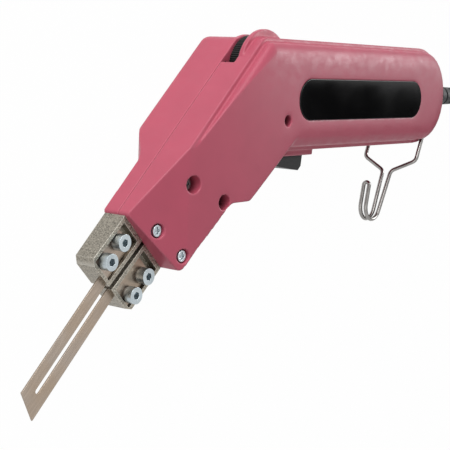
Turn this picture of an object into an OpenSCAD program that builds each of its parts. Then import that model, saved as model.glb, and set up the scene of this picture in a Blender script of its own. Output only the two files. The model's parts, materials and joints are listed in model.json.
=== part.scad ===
// Electric hot knife lying on its far side: X runs along the grip toward the cord,
// Y is the top of the tool, Z is up and the flat of the far cheek rests on Z = 0.

/* [Housing] */
// Thickness of the housing over both cheeks
body_t = 41; // [38:0.5:48]
// Thickness of the flat core between the cheek lines
core_t = 29; // [27:0.5:32]
// Height of the grip
handle_h = 50; // [47:1:56]
// Length of the grip from the top corner to the rear end
handle_len = 166; // [162:1:195]
// Height of the flat between the two rounded rear corners of the grip
rear_flat = 2; // [1:0.5:12]
// Angle of the nose below the grip
nose_angle = 44; // [40:1:48]
// Length of the sloping back of the nose
nose_len = 104; // [101:1:116]
// Height of the nose, square to its axis
nose_h = 35; // [34.5:0.5:40]
// Depth of the near half of the nose at its top front edge
nose_near = 5.5; // [5.5:0.25:8]
// Depth of the far half of the nose
nose_far = 7.8; // [7.8:0.2:10]
// Length of the underside of the nose
nose_under = 38; // [34:1:40]
// Length of the flat step under the bend
step_len = 12; // [10:1:20]
// Depth of the lip round the trigger
lip_h = 3; // [2:0.5:5]
// Wall of the housing
wall = 2.5; // [2:0.1:3]
// Width of the ledge round each cheek
ledge = 2; // [1:0.25:3]
// Height of the riser from the ledge to the cheek
riser = 2.5; // [1.5:0.25:3.5]
// Run of the rounded edge of each cheek
dome_run = 8; // [5:0.5:10]
// Length over which the near cheek rises from the crease of the nose
cheek_run = 64; // [50:1:80]
// Length of the swell from the nose to the full depth of the far half
swell_len = 18; // [14:0.5:24]
// Radius of the rounded edge of the far cheek
edge_r = 3; // [2:0.25:4]

/* [Label] */
// Length of the label plate
label_len = 114; // [90:1:118]
// Height of the label plate
label_h = 19; // [15:0.5:22]
// Thickness of the label plate
label_t = 0.8; // [0.6:0.1:1.5]

/* [Dial] */
// Radius of the thumb dial
dial_r = 15.25; // [14.5:0.25:16]
// Thickness of the thumb dial
dial_t = 6; // [4:0.5:7]
// Height of the guard arch above the dial rim
guard_over = 2.8; // [2:0.1:4]
// Thickness of the guard arch
guard_t = 2.4; // [1.5:0.1:4]
// Diameter of the dial shaft
dial_shaft_d = 6; // [5:0.5:7]

/* [Trigger] */
// Width of the trigger lever
trigger_w = 14; // [10:0.5:16]
// Length of the trigger lever behind its pin
trigger_len = 24; // [20:0.5:26]
// Depth of the lever below the lip at its rear
trigger_drop = 7.5; // [5:0.5:10]
// Diameter of the trigger pin
trigger_pin_d = 3; // [2.5:0.25:4]

/* [Blade and clamp] */
// Width of the blade
blade_w = 12.5; // [11.5:0.5:13.5]
// Free length of the blade along its upper edge
blade_len = 55.6; // [40:0.2:100]
// Thickness of the blade
blade_t = 0.8; // [0.5:0.1:1.2]
// Width of the slot in the blade and of the gap between the electrode blocks
slot_w = 2.1; // [1.5:0.1:3]
// How much longer the lower edge of the blade is
tip_slant = 4.3; // [0:0.1:8]
// Length of an electrode block
block_len = 24.4; // [24.4:0.2:28]
// Width of an electrode block
block_w = 15.4; // [15:0.2:16]
// Depth of an electrode block on the near side of the blade plane
block_near = 3.7; // [3:0.1:5]
// Depth of an electrode block on the far side of the blade plane
block_far = 7.2; // [6:0.2:8]
// Fall of the near face of a block toward its front end
block_fall = 1.2; // [0:0.1:2]
// Thickness of a clamp plate
plate_t = 1.2; // [1:0.1:2]
// Thread diameter of the clamp screws
clamp_screw_d = 4; // [3.5:0.5:4]
// Distance between the two clamp screws of a block
clamp_pitch = 10; // [9:0.1:10]

/* [Hook] */
// Diameter of the hook wire
wire_d = 2.2; // [1.8:0.1:2.6]
// Distance between the two legs of the hook
hook_span = 31.2; // [30.8:0.1:31.6]
// Length of the legs from the pivot to the elbow
hook_leg = 22.6; // [20:0.2:26]
// Length from the pivot to the bend of the J
hook_stem = 52.5; // [46:0.5:60]
// Radius of the J bend
hook_r = 7.2; // [6:0.2:11]
// Lean of the hook toward the nose from straight down
hook_lean = 24; // [15:1:30]

/* [Cord] */
// Diameter of the mains cord
cord_d = 6.8; // [6:0.1:7.2]
// Length of the strain relief outside the housing
relief_len = 45; // [30:1:60]
// Diameter of the strain relief at the housing
relief_d = 12; // [11:0.5:15]

/* [Hidden] */
$fn = 48;

// Small amount that a cut runs past a face
over = 1;
// Running gap between a moving piece and its neighbours
gap = 0.5;
// Gap round a turning shaft, on the radius
run_gap = 0.06;
// Gap round a screw, on the radius
screw_gap = 0.05;

body_half = body_t / 2;
core_half = core_t / 2;
mid_z = body_half;
cheek_w = core_half + riser;
dome_rise = body_half - cheek_w;

// Outline of the housing in the XY plane
handle_bottom = -16;
handle_top = handle_bottom + handle_h;
handle_mid = (handle_top + handle_bottom) / 2;
rear_r = (handle_h - rear_flat) / 2;
corner_x = -4.5;
rear_x = corner_x + handle_len;
nose_dir = [cos(nose_angle), sin(nose_angle)];
across_dir = [sin(nose_angle), -cos(nose_angle)];
nose_top = [corner_x, handle_top] - nose_len * nose_dir;
nose_bottom = nose_top + nose_h * across_dir;
step_front = nose_bottom + nose_under * nose_dir;
step_rear = step_front + [step_len, 0];
lip_y = handle_bottom - lip_h;
slope_run = 15.7;
slope_foot = [corner_x + slope_run, handle_bottom];
pin_behind_lip = 9.5;
slot_end_gap = 1.2;
lip_wall = 2;
lip_front_x = slope_foot.x + (step_rear.x - slope_foot.x) * lip_h / (handle_bottom - step_rear.y);
lip_half = 10.5;
lip_end_x = lip_front_x + pin_behind_lip + trigger_len + slot_end_gap + lip_wall;
before_lip = [nose_top, nose_bottom, step_front, step_rear];
after_lip = [[rear_x, handle_bottom], [rear_x, handle_top], [corner_x, handle_top]];
lip_points = [[lip_front_x, lip_y], [lip_end_x, lip_y], [lip_end_x, handle_bottom]];
flush_points = [slope_foot, [lip_end_x - lip_h, handle_bottom], [lip_end_x, handle_bottom]];
outline_radii = [1.5, 1.5, 6, 3, 5, 0, 0, rear_r, rear_r, 7];
arc_steps = 8;
// How much of the ledge and the rounded edge each side of the outline takes, from the nose front round
full_share = [1, 1, 1, 1, 1, 1, 1, 1, 1, 1];
near_share = [0.3, 0.3, 0.3, 0.3, 1, 1, 1, 1, 1, 1];
// Where the near nose meets its cheek, and where the far half starts to swell
crease_behind = 3;
swell_before = 5.3;
crease_x = nose_bottom.x + crease_behind;
swell_x = nose_bottom.x - swell_before;

// Pieces placed along the nose: a runs back from the front face, b runs down from its back
axis_b = nose_h / 2;
block_inner = slot_w / 2;
block_outer = block_inner + block_w;
screw_in = 5.8;
screw_row = block_outer - screw_in;
leg_w = (blade_w - slot_w) / 2;
screw_first = 9.1;
washer_d = 1.65 * clamp_screw_d;
washer_t = clamp_screw_d / 4;
pocket_rear = 2.2;
pocket_front = screw_first + clamp_pitch + washer_d / 2 + gap;
plate_rear = 4.4;
blade_seat = 4;
front_slant_a = 2;
front_slant_w = 3;
rim_w = 1.8;
plate_gap = 0.2;
plate_corner = 3;
holder_near = 4.2;
holder_far = 5;
holder_top = axis_b - 4;
holder_low = -axis_b + wall + 0.3;
holder_end = 21;
tongue_len = 15;
tongue_w = 6;
tongue_half = 2.5;
strap_half = 1.5;
strap_w = 2;
strap_shift = 2;
strap_y = [tongue_mid() + strap_shift, -tongue_mid() + strap_shift];
nose_screw_a = [4.8, 5.6];
nose_screw_y = [2.5, -13.7];
nose_seats = [7.6, 11.2];
nose_recess_r = 3;

// Transformer, in the same directions
core_a = 43;
core_rear_gap = 28;
core_len = nose_len - core_a - core_rear_gap;
core_stack = 17;
core_leg = 5;
core_w = 6 * core_leg;
window_len = core_len - 2 * core_leg - 1;
bobbin_t = 0.8;
coil_build = 4.4;

// Body screws through both halves: place, head recess radius, head seat height
screw_d = 2.9;
screw_head_d = 5;
screw_head_h = 2.1;
cross_len = 0.62 * screw_head_d;
cross_w = 0.22 * screw_head_d;
recess_wall = 0.9;
small_post_r = 2.5;
upper_screw_a = 29;
upper_screw_b = 12.9;
lower_screw_a = 35.8;
lower_screw_edge = 4;
grip_screw_x = 12.9;
grip_screw_y = 14.1;
screw_a = nose_top + upper_screw_a * nose_dir + upper_screw_b * across_dir;
screw_b = nose_top + lower_screw_a * nose_dir + (nose_h - lower_screw_edge) * across_dir;
screw_handle = [corner_x + grip_screw_x, handle_bottom + grip_screw_y];
body_screws_at = [screw_a, screw_b, screw_handle];
body_recess_r = [3.7, 3.3, 2.6];
body_seat = 9;
screw_depth = 12;

// Label, behind the corner of the back and below the middle of the grip
label_behind = 78;
label_below = 1.6;
label_proud = 0.2;
label_fit = 0.15;
label_at = [corner_x + label_behind, handle_mid - label_below];

// Vent slots in the rear ledge: upper or lower corner, angle round it and length
vents = [[1, 16, 5.6], [-1, -22, 5]];
vent_w = 1.6;
vent_deep = 3;
vent_in = 0.7;

// Dial
dial_behind = 8.3;
dial_below = 14.2;
dial_at = [corner_x + dial_behind, handle_top - dial_below];
dial_teeth = 90;
dial_tooth_h = 0.45;
dial_slot_gap = 1.8;
dial_slot_run = 6;
dial_low = 0.8;
dial_high = dial_low + dial_t;
guard_low = dial_high + gap;
guard_r = dial_r + guard_over;
low_guard_r = dial_r + 0.35;
guard_inner_r = dial_r - 3;

// Control board in the far half
board_t = 1.6;
board_top = -10.4;
board_low = board_top - board_t;
pot_r = 8;
pot_h = 8;
board_x = corner_x - 3;
board_y = dial_at.y - 10;
board_h = 16;
standoff_in = 4;
capacitor_len = 16;
capacitor_h = 12;
heatsink_t = 2;
heatsink_h = 16;
triac_t = 4.5;
choke_r = 7;
choke_hole_r = 2.8;
choke_h = 9;
component_gap = 2;
board_gap = 4.4;

// Trigger and switch
pin_above_lip = 5.8;
trigger_at = [lip_front_x + pin_behind_lip, lip_y + pin_above_lip];
trigger_hub_r = 3;
lever_top = trigger_at.y - 1;
switch_x = trigger_at.x + 12;
switch_len = 28;
switch_y = lever_top + 3.6;
switch_h = board_y - board_gap - switch_y;
switch_half = 5.2;
plunger_x = trigger_at.x + 20;
plunger_r = 2;
plunger_bore = 6;
plunger_stop = 0.4;
plunger_gap = 0.5;
plunger_travel = 2;
spring_x = trigger_at.x + 14.5;
spring_r = 2.3;
switch_post_in = 5;
switch_posts = [for (x = [switch_x + switch_post_in, switch_x + switch_len - switch_post_in])
    [x, switch_y + plunger_bore]];

// Cord and its fittings
cord_y = handle_mid - 0.5;
cord_r = cord_d / 2;
neck_r = relief_d / 2 - 0.7;
flange_r = relief_d / 2 + 1.5;
flange_t = 3;
flange_back = 1.5;
relief_gap = 0.3;
rib_cut = 1.6;
rib_depth = 0.9;
relief_end_r = relief_d / 2 - 1.3;
clamp_x = rear_x - 21;
clamp_half = 8.5;
clamp_bar_t = 3;
clamp_post_r = 3;
clamp_bar_len = 8;
terminal_x = clamp_x - 50;
terminal_len = 22;
terminal_half = 6;
terminal_top = cord_y + 6;
inner_cord_x = terminal_x + terminal_len;
lead_r = 1;
lead_half = 3;
lead_y = switch_y + switch_h - lead_r - gap;
terminal_low = lead_y - lead_r - gap;

// Length of the board and the places of what it carries, back from its rear end
board_end = terminal_x - 8;
choke_x = board_end - choke_r - component_gap;
triac_x = choke_x - choke_r - component_gap - triac_t;
heatsink_x = triac_x - heatsink_t;
capacitor_x = heatsink_x - component_gap - capacitor_len;
standoffs = [[dial_at.x, board_y + standoff_in], [triac_x, board_y + standoff_in],
    [board_end - standoff_in, board_y + board_h - standoff_in]];

// Hook
hook_in = 14.5;
hook_up = 11;
hook_at = [rear_x - hook_in, handle_bottom + hook_up];
wire_r = wire_d / 2;
hook_half = hook_span / 2;
stem_half = 2.4;
tip_half = 1.6;
shoulder_run = 7;
hook_tip = 10;
hook_turn = 168;
pivot_in = 4.6;
hook_swing = [-24, 110];
channel_w = wire_d + 2 * gap;
channel_low = hook_half - channel_w / 2;
channel_reach = 60;
hook_post_r = 5.5;

// Route of the free cord from the end of the strain relief to the coil, chosen by hand
cord_lie = cord_r + 1;
cord_start = [rear_x + relief_len, cord_y, mid_z];
stretch_drops = [[0, 0, 0], [12, 0, 0], [28, 0, -1.5], [46, 0, -6], [64, 0, -11], [82, 0, -14.5],
    [100, 0, -16], [116, 0, -16]];
stretch_end = [cord_start.x + 130, cord_y, cord_lie];
stretch_sides = 10;

// Coil: spiral in on the lower layer, climb in a half turn, spiral out on the upper layer
coil_pitch = cord_d + 0.6;
coil_turns = 3.75;
coil_in_r = 4.1 * cord_d;
coil_out_r = coil_in_r + coil_pitch * coil_turns;
coil_dip = 1.2;
coil_sides = 6;
rings_per_turn = 24;
coil_total = 2 * coil_turns + 0.5;
coil_centre = [stretch_end.x + cord_d, cord_y - coil_out_r];
tail_len = 5 * cord_d;
tie_t = 0.8;
tie_w = 8;
tie_angle = 200;

// Plug
plug_len = 34;
plug_w = 26;
pin_spacing = 12.7;
pin_len = 17;
pin_w = 6.3;
pin_t = 1.5;

function unit(v) = v / norm(v);
function left(v) = [-v.y, v.x];

// Shift of the corner of two sides that are drawn in by depth1 and depth2 along their normals
function drawn_in(n1, n2, depth1, depth2) =
    let (c = n1 * n2)
    c > 0.9999 ? n1 * depth1 : ((depth1 - c * depth2) * n1 + (depth2 - c * depth1) * n2) / (1 - c * c);

// Points of one rounded corner of the outline, drawn in; a corner of no radius is one point
function corner(before, at, after, radius, depth1, depth2) =
    let (d1 = unit(at - before), d2 = unit(after - at), n1 = left(d1), n2 = left(d2),
        convex = cross(d1, d2) > 0, side = convex ? 1 : -1, depth = (depth1 + depth2) / 2,
        turn = acos(min(1, d1 * d2)), start = atan2(n1.y, n1.x),
        r = convex ? max(radius - depth, 0.2) : radius + depth,
        centre = at + drawn_in(n1, n2, depth1 + side * r, depth2 + side * r))
    radius == 0 ? [at + drawn_in(n1, n2, depth1, depth2)] :
    [for (k = [0:arc_steps]) let (t = start + side * turn * k / arc_steps)
        centre - side * r * [cos(t), sin(t)]];

// Outline of the housing drawn in by inset, with the lip under the trigger or flush without it
function outline(inset, lip = false, share = full_share) =
    let (p = concat(before_lip, lip ? lip_points : flush_points, after_lip), n = len(p))
    [for (i = [0:n - 1]) let (b = (i + n - 1) % n)
        each corner(p[b], p[i], p[(i + 1) % n], outline_radii[i], inset * share[b], inset * share[i])];

// Outlines of each half of the housing as [inset, height, lip]
lip_levels = [[0, -core_half, true], [0, lip_half, true], [0, lip_half + 0.3, false]];
near_levels = concat(lip_levels, [[0, core_half, false], [ledge, core_half + 0.3, false]],
    [for (t = [0:10:90]) [ledge + dome_run * (1 - cos(t)), cheek_w + dome_rise * sin(t), false]]);
far_levels = concat(lip_levels,
    [for (t = [0:15:90]) [edge_r * (1 - cos(t)), body_half - edge_r * (1 - sin(t)), false]]);

// Solid between stacked outlines
module loft(levels, share) {
    rings = [for (l = levels) [for (p = outline(l[0], l[2], share)) [p.x, p.y, l[1]]]];
    n = len(rings[0]);
    m = len(rings);
    sides = [for (k = [0:m - 2]) for (i = [0:n - 1]) let (j = (i + 1) % n)
        each [[k * n + i, (k + 1) * n + i, (k + 1) * n + j], [k * n + i, (k + 1) * n + j, k * n + j]]];
    caps = [[for (i = [0:n - 1]) i], [for (i = [n - 1:-1:0]) (m - 1) * n + i]];
    polyhedron(points = [for (r = rings) each r], faces = concat(sides, caps));
}

// Profile of depth over length, filled down to the parting plane and run through the whole height
module plan(profile, shrink) {
    floor_w = shrink > 0 ? -over : 0;
    first = profile[0];
    last = profile[len(profile) - 1];
    deep = 2 * (handle_h + nose_len);
    translate([0, deep / 2, 0])
        rotate([90, 0, 0])
            linear_extrude(deep)
                polygon(concat([[first.x, floor_w], [last.x, floor_w]],
                    [for (i = [len(profile) - 1:-1:0]) [profile[i].x, profile[i].y - shrink]]));
}

// Depth of the near half: the nose tapers up to a crease, and the cheek behind it rises and levels out
nose_run = crease_x - nose_top.x;
front_x = nose_top.x - 6;
cheek_steps = 8;
near_profile = concat(
    [[front_x, core_half + (core_half - nose_near) * (front_x - crease_x) / nose_run]],
    [for (k = [0:cheek_steps]) let (t = k / cheek_steps)
        [crease_x + cheek_run * t, core_half + (body_half - core_half) * t * (2 - t)]],
    [[rear_x + over, body_half + over]]);

// Depth of the far half: level on the nose, then a smooth swell to the full depth
function smooth_step(t) = t * t * (3 - 2 * t);
swell_steps = 10;
far_profile = concat([[front_x, nose_far]],
    [for (k = [0:swell_steps]) let (t = k / swell_steps)
        [swell_x + swell_len * t, nose_far + (body_half - nose_far) * smooth_step(t)]],
    [[rear_x + over, body_half + over]]);

// A point along the nose, and the place of a nose screw
function along_nose(a, b) = nose_top + a * nose_dir + b * across_dir;
function nose_screw_at(i) = along_nose(nose_screw_a[i], axis_b - nose_screw_y[i]);

// Frame of the nose: X runs back along its axis, Y runs up to its back, from the middle of the front face
module at_nose() {
    start = along_nose(0, axis_b);
    translate([start.x, start.y, mid_z])
        rotate([0, 0, nose_angle])
            children();
}

module at_mid() {
    translate([0, 0, mid_z])
        children();
}

// Post inside the housing, twelve-sided, up from a height
module post(at, r, low) {
    translate([at.x, at.y, low])
        cylinder(r = r, h = body_half, $fn = 12);
}

module bar(low, high) {
    translate(low)
        cube(high - low);
}

// Posts that both halves keep inside
module shared_posts(holder_w) {
    for (i = [0:2])
        post(body_screws_at[i], body_recess_r[i] + recess_wall, -over);
    for (i = [0, 1])
        post(nose_screw_at(i), nose_recess_r + recess_wall, holder_w);
    for (a = [core_a + core_leg / 2, core_a + core_len - core_leg / 2])
        post(along_nose(a, axis_b + 1), core_leg / 2 - 0.1, core_stack / 2);
    post(trigger_at, trigger_hub_r, trigger_w / 2 + gap);
    for (p = switch_posts)
        post(p, small_post_r, switch_half);
    post([terminal_x + terminal_len / 2, cord_y], small_post_r, terminal_half);
    post(hook_at, hook_post_r, hook_half - pivot_in - over);
}

// Cuts that both halves share
module shared_cuts() {
    half_open = tongue_half + gap;
    rows = tongue_mid() + tongue_w / 2 + gap;
    start = along_nose(0, axis_b);
    translate([start.x, start.y, 0])
        rotate([0, 0, nose_angle])
            bar([-over, -rows, -over], [wall + over, rows, half_open]);
    bar([trigger_at.x - trigger_hub_r - gap, lip_y - over, -over],
        [trigger_at.x + trigger_len + slot_end_gap, handle_bottom + wall + over, trigger_w / 2 + gap]);
    translate([trigger_at.x, trigger_at.y, 0])
        cylinder(r = trigger_pin_d / 2 + run_gap, h = trigger_w / 2 + 4);
    translate([rear_x - 4 * wall, cord_y, 0])
        rotate([0, 90, 0])
            cylinder(r = neck_r + 0.2, h = 6 * wall);
    hook_channel();
}

// Slot that a hook leg swings in, with the hole of its pivot
module hook_channel() {
    ends = [for (t = hook_swing) -90 - hook_lean + t];
    room = wire_r + gap;
    fan = [for (k = [0:6]) let (t = ends[0] + (ends[1] - ends[0]) * k / 6) channel_reach * [cos(t), sin(t)]];
    translate([hook_at.x, hook_at.y, channel_low])
        linear_extrude(channel_w) {
            circle(r = room);
            polygon(concat([[0, 0]], fan));
            for (t = ends)
                rotate(t)
                    translate([0, -room])
                        square([channel_reach, 2 * room]);
        }
    translate([hook_at.x, hook_at.y, hook_half - pivot_in - run_gap])
        cylinder(r = wire_r + run_gap, h = pivot_in);
}

// Half of the housing as a solid, above the parting plane
module half_solid(levels, share, profile) {
    intersection() {
        loft(levels, share);
        plan(profile, 0);
    }
}

// Hollow inside the near half: one step under the ledge and one under the cheek
module near_cavity() {
    intersection() {
        translate([0, 0, -2 * over])
            union() {
                linear_extrude(core_half - wall + 2 * over)
                    polygon(outline(wall));
                linear_extrude(body_half - wall + 2 * over)
                    polygon(outline(wall + ledge + dome_run / 2));
            }
        plan(near_profile, wall);
    }
}

// Hollow inside the far half
module far_cavity() {
    intersection() {
        translate([0, 0, -2 * over])
            linear_extrude(body_half - wall + 2 * over)
                polygon(outline(wall));
        plan(far_profile, wall);
    }
}

module shell_near() {
    color("IndianRed")
        at_mid() {
            difference() {
                half_solid(near_levels, near_share, near_profile);
                difference() {
                    near_cavity();
                    shared_posts(holder_near);
                }
                shared_cuts();
                near_cuts();
            }
            translate([0, 0, guard_low])
                guard_arch(guard_r);
        }
}

// Ring beside the dial that stands out of the back of the grip
module guard_arch(r) {
    translate([dial_at.x, dial_at.y, 0])
        difference() {
            cylinder(r = r, h = guard_t);
            translate([0, 0, -over])
                cylinder(r = guard_inner_r, h = guard_t + 2 * over);
        }
}

module near_cuts() {
    for (v = vents)
        translate([rear_x - rear_r, handle_mid + v[0] * (handle_h / 2 - rear_r), core_half - vent_deep])
            rotate(v[1])
                translate([rear_r - vent_in - vent_w, -v[2] / 2, 0])
                    cube([vent_w, v[2], vent_deep + over]);
    for (run = [0, dial_slot_run])
        translate([dial_at.x - run * cos(nose_angle), dial_at.y - run * sin(nose_angle), -over])
            cylinder(r = dial_r + dial_slot_gap, h = guard_low + over);
    translate([0, 0, body_half - label_t + label_proud])
        label_outline(0);
    for (i = [0:2])
        screw_recess(body_screws_at[i], body_recess_r[i], body_seat);
    for (i = [0, 1])
        screw_recess(nose_screw_at(i), nose_recess_r, nose_seats[i]);
}

module screw_recess(at, r, seat) {
    translate([at.x, at.y, seat])
        cylinder(r = r, h = body_half);
    translate([at.x, at.y, -over])
        cylinder(r = screw_d / 2 + screw_gap, h = seat + 2 * over);
}

module shell_far() {
    color("IndianRed")
        at_mid()
            mirror([0, 0, 1]) {
                difference() {
                    half_solid(far_levels, full_share, far_profile);
                    difference() {
                        far_cavity();
                        shared_posts(holder_far);
                        far_posts();
                    }
                    shared_cuts();
                    far_cuts();
                }
                guard_arch(low_guard_r);
                clamp_post_tops();
            }
}

// Posts of the far half for the board and the cord clamp, in mirrored heights
module far_posts() {
    for (p = standoffs)
        post(p, small_post_r, -board_low);
    for (s = [-1, 1])
        post([clamp_x, cord_y + s * clamp_half], clamp_post_r, -over);
    post([clamp_x, cord_y], clamp_post_r, cord_r);
}

// Tops of the two clamp posts, which reach past the parting plane to the bar
module clamp_post_tops() {
    for (s = [-1, 1])
        translate([clamp_x, cord_y + s * clamp_half, -cord_r])
            difference() {
                cylinder(r = clamp_post_r, h = cord_r + 2 * over);
                translate([0, 0, -over])
                    cylinder(r = screw_d / 2 + screw_gap, h = cord_r + 4 * over);
            }
}

module far_cuts() {
    for (p = body_screws_at)
        blind_hole(p);
    for (i = [0, 1])
        blind_hole(nose_screw_at(i));
    for (s = [-1, 1])
        blind_hole([clamp_x, cord_y + s * clamp_half]);
}

module blind_hole(at) {
    translate([at.x, at.y, -over])
        cylinder(r = screw_d / 2 + screw_gap, h = screw_depth + over);
}

module label_outline(shrink) {
    r = label_h / 2 - shrink;
    run = label_len / 2 - label_h / 2;
    translate(label_at)
        linear_extrude(label_t) {
            square([2 * run, 2 * r], center = true);
            for (s = [-1, 1])
                translate([s * run, 0])
                    circle(r = r);
        }
}

module label_plate() {
    color("Black")
        at_mid()
            translate([0, 0, body_half - label_t + label_proud])
                label_outline(label_fit);
}

module dial_wheel() {
    step = 360 / dial_teeth;
    rim = [for (k = [0:dial_teeth - 1]) each
        [for (q = [[0, dial_r], [0.55, dial_r], [0.65, dial_r - dial_tooth_h], [0.9, dial_r - dial_tooth_h]])
            q[1] * [cos(step * (k + q[0])), sin(step * (k + q[0]))]]];
    color("DimGray")
        at_mid()
            translate([dial_at.x, dial_at.y, dial_low])
                difference() {
                    linear_extrude(dial_t)
                        polygon(rim);
                    translate([0, 0, -over])
                        cylinder(r = dial_shaft_d / 2, h = dial_t + 2 * over);
                }
}

module dial_shaft() {
    color("Silver")
        at_mid()
            translate([dial_at.x, dial_at.y, board_top + over + 0.2])
                cylinder(r = dial_shaft_d / 2, h = dial_high - board_top - over - 0.2);
}

module dial_pot() {
    color("RoyalBlue")
        at_mid()
            translate([dial_at.x, dial_at.y, board_top])
                difference() {
                    cylinder(r = pot_r, h = pot_h);
                    translate([0, 0, over])
                        cylinder(r = dial_shaft_d / 2 + run_gap, h = pot_h);
                }
}

module control_board() {
    color("DarkGreen")
        at_mid()
            bar([board_x, board_y, board_low], [board_end, board_y + board_h, board_top]);
}

module filter_capacitor() {
    color("Gold")
        at_mid()
            bar([capacitor_x, board_y + component_gap, board_top],
                [capacitor_x + capacitor_len, board_y + board_h - component_gap, board_top + capacitor_h]);
}

module triac_heatsink() {
    color("Gainsboro")
        at_mid() {
            bar([heatsink_x, board_y + 1, board_top], [triac_x, board_y + board_h - 1, board_top + heatsink_h]);
            bar([triac_x, board_y + standoff_in, board_top],
                [triac_x + triac_t, board_y + board_h - standoff_in, board_top + heatsink_h - over]);
        }
}

module choke_coil() {
    color("OrangeRed")
        at_mid()
            translate([choke_x, board_y + board_h / 2, board_top])
                difference() {
                    cylinder(r = choke_r, h = choke_h);
                    translate([0, 0, -over])
                        cylinder(r = choke_hole_r, h = choke_h + 2 * over);
                }
}

module trigger_lever() {
    rear = trigger_at.x + trigger_len;
    low = lip_y - trigger_drop;
    color("DarkSlateGray")
        at_mid()
            translate([0, 0, -trigger_w / 2])
                difference() {
                    linear_extrude(trigger_w) {
                        translate(trigger_at)
                            circle(r = trigger_hub_r);
                        polygon([[trigger_at.x - trigger_hub_r, trigger_at.y],
                            [trigger_at.x - trigger_hub_r + 0.6, lip_y + 1], [trigger_at.x + 1, low + 3],
                            [rear - 3, low], [rear - 0.8, low + 2], [rear, lip_y], [rear, lever_top],
                            [trigger_at.x, lever_top]]);
                    }
                    translate([trigger_at.x, trigger_at.y, -over])
                        cylinder(r = trigger_pin_d / 2 + run_gap, h = trigger_w + 2 * over);
                }
}

module trigger_pin() {
    half = trigger_w / 2 + 3.8;
    color("Silver")
        at_mid()
            translate([trigger_at.x, trigger_at.y, -half])
                cylinder(r = trigger_pin_d / 2, h = 2 * half);
}

module trigger_spring() {
    color("Silver")
        at_mid()
            translate([spring_x, switch_y - 0.1, 0])
                rotate([90, 0, 0])
                    cylinder(r = spring_r, h = switch_y - lever_top - 0.2);
}

module switch_body() {
    color("DimGray")
        at_mid()
            difference() {
                bar([switch_x, switch_y, -switch_half], [switch_x + switch_len, switch_y + switch_h, switch_half]);
                translate([plunger_x, switch_y + plunger_bore, 0])
                    rotate([90, 0, 0])
                        cylinder(r = plunger_r + run_gap, h = plunger_bore + over);
            }
}

module switch_plunger() {
    top = switch_y + plunger_bore - plunger_travel - plunger_stop;
    color("OrangeRed")
        at_mid()
            translate([plunger_x, top, 0])
                rotate([90, 0, 0])
                    cylinder(r = plunger_r, h = top - lever_top - plunger_gap);
}

module transformer_core() {
    color("SlateGray")
        at_nose()
            translate([core_a, -core_w / 2 - 1, -core_stack / 2])
                difference() {
                    cube([core_len, core_w, core_stack]);
                    for (y = [core_leg, 4 * core_leg])
                        translate([(core_len - window_len) / 2, y, -over])
                            cube([window_len, core_leg, core_stack + 2 * over]);
                }
}

// Rectangular ring round the centre leg of the core
module leg_ring(inset, thick, length) {
    half_y = core_leg + inset;
    half_z = core_stack / 2 + inset;
    at_nose()
        translate([core_a + core_len / 2, -1, 0])
            difference() {
                cube([length, 2 * (half_y + thick), 2 * (half_z + thick)], center = true);
                cube([length + over, 2 * half_y, 2 * half_z], center = true);
            }
}

module coil_bobbin() {
    color("Ivory")
        leg_ring(0, bobbin_t, window_len);
}

module primary_coil() {
    color("Chocolate")
        leg_ring(bobbin_t, coil_build - bobbin_t - 0.2, window_len - 2);
}

// Copper bar from the tongue of a block to the coil
module strap(y) {
    color("Peru")
        at_nose()
            bar([tongue_len, y - strap_half, -strap_w], [core_a, y + strap_half, strap_w]);
}

module strap_upper() {
    strap(strap_y[0]);
}

module strap_lower() {
    strap(strap_y[1]);
}

module electrode_holder() {
    color("SaddleBrown")
        at_nose()
            difference() {
                bar([wall, holder_low, -holder_far], [holder_end, holder_top, holder_near]);
                for (s = [-1, 1])
                    bar([wall - over, s * tongue_mid() - tongue_w / 2, -tongue_half],
                        [tongue_len, s * tongue_mid() + tongue_w / 2, tongue_half]);
                for (y = strap_y)
                    bar([tongue_len - over, y - strap_half, -strap_w],
                        [holder_end + over, y + strap_half, strap_w]);
                for (i = [0, 1])
                    translate([nose_screw_a[i], nose_screw_y[i], -holder_far - over])
                        cylinder(r = screw_d / 2 + screw_gap, h = holder_far + holder_near + 2 * over);
            }
}

function tongue_mid() = block_inner + block_w / 2;

// Electrode block on the upper (side = 1) or lower (side = -1) side of the gap
module block(side) {
    floor_w = blade_t / 2;
    color("DarkKhaki")
        at_nose()
            scale_side(side)
                difference() {
                    union() {
                        block_body();
                        bar([0, tongue_mid() - tongue_w / 2, -tongue_half],
                            [tongue_len, tongue_mid() + tongue_w / 2, tongue_half]);
                    }
                    bar([-pocket_front, block_inner + rim_w, floor_w],
                        [-pocket_rear, block_outer - rim_w, block_near + over]);
                    bar([-block_len - over, block_inner - over, -floor_w],
                        [-blade_seat, block_inner + leg_w + 0.1, floor_w]);
                    front_chamfer();
                    for (k = [0, 1])
                        translate([-screw_first - k * clamp_pitch, screw_row, -block_far - over])
                            cylinder(r = clamp_screw_d / 2 + screw_gap, h = block_far + block_near + 2 * over);
                    for (i = [0, 1])
                        translate([nose_screw_a[i], side * nose_screw_y[i], -block_far])
                            cylinder(r = screw_d / 2 + 2 * gap, h = block_far + block_near);
                }
}

// Cut that slants the outer front corner of a block
module front_chamfer() {
    translate([0, 0, -block_far - over])
        linear_extrude(block_far + block_near + 2 * over)
            polygon([[-block_len - over, block_outer - front_slant_w - over * front_slant_w / front_slant_a],
                [-block_len + front_slant_a + over * front_slant_a / front_slant_w, block_outer + over],
                [-block_len - over, block_outer + over]]);
}

// Mirrors the lower block about the nose axis
module scale_side(side) {
    mirror([0, side > 0 ? 0 : 1, 0])
        children();
}

module block_body() {
    translate([0, block_outer, 0])
        rotate([90, 0, 0])
            linear_extrude(block_w)
                polygon([[-block_len, -block_far], [0, -block_far], [0, block_near], [-pocket_rear, block_near],
                    [-block_len, block_near - block_fall]]);
}

module block_upper() {
    block(1);
}

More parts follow.
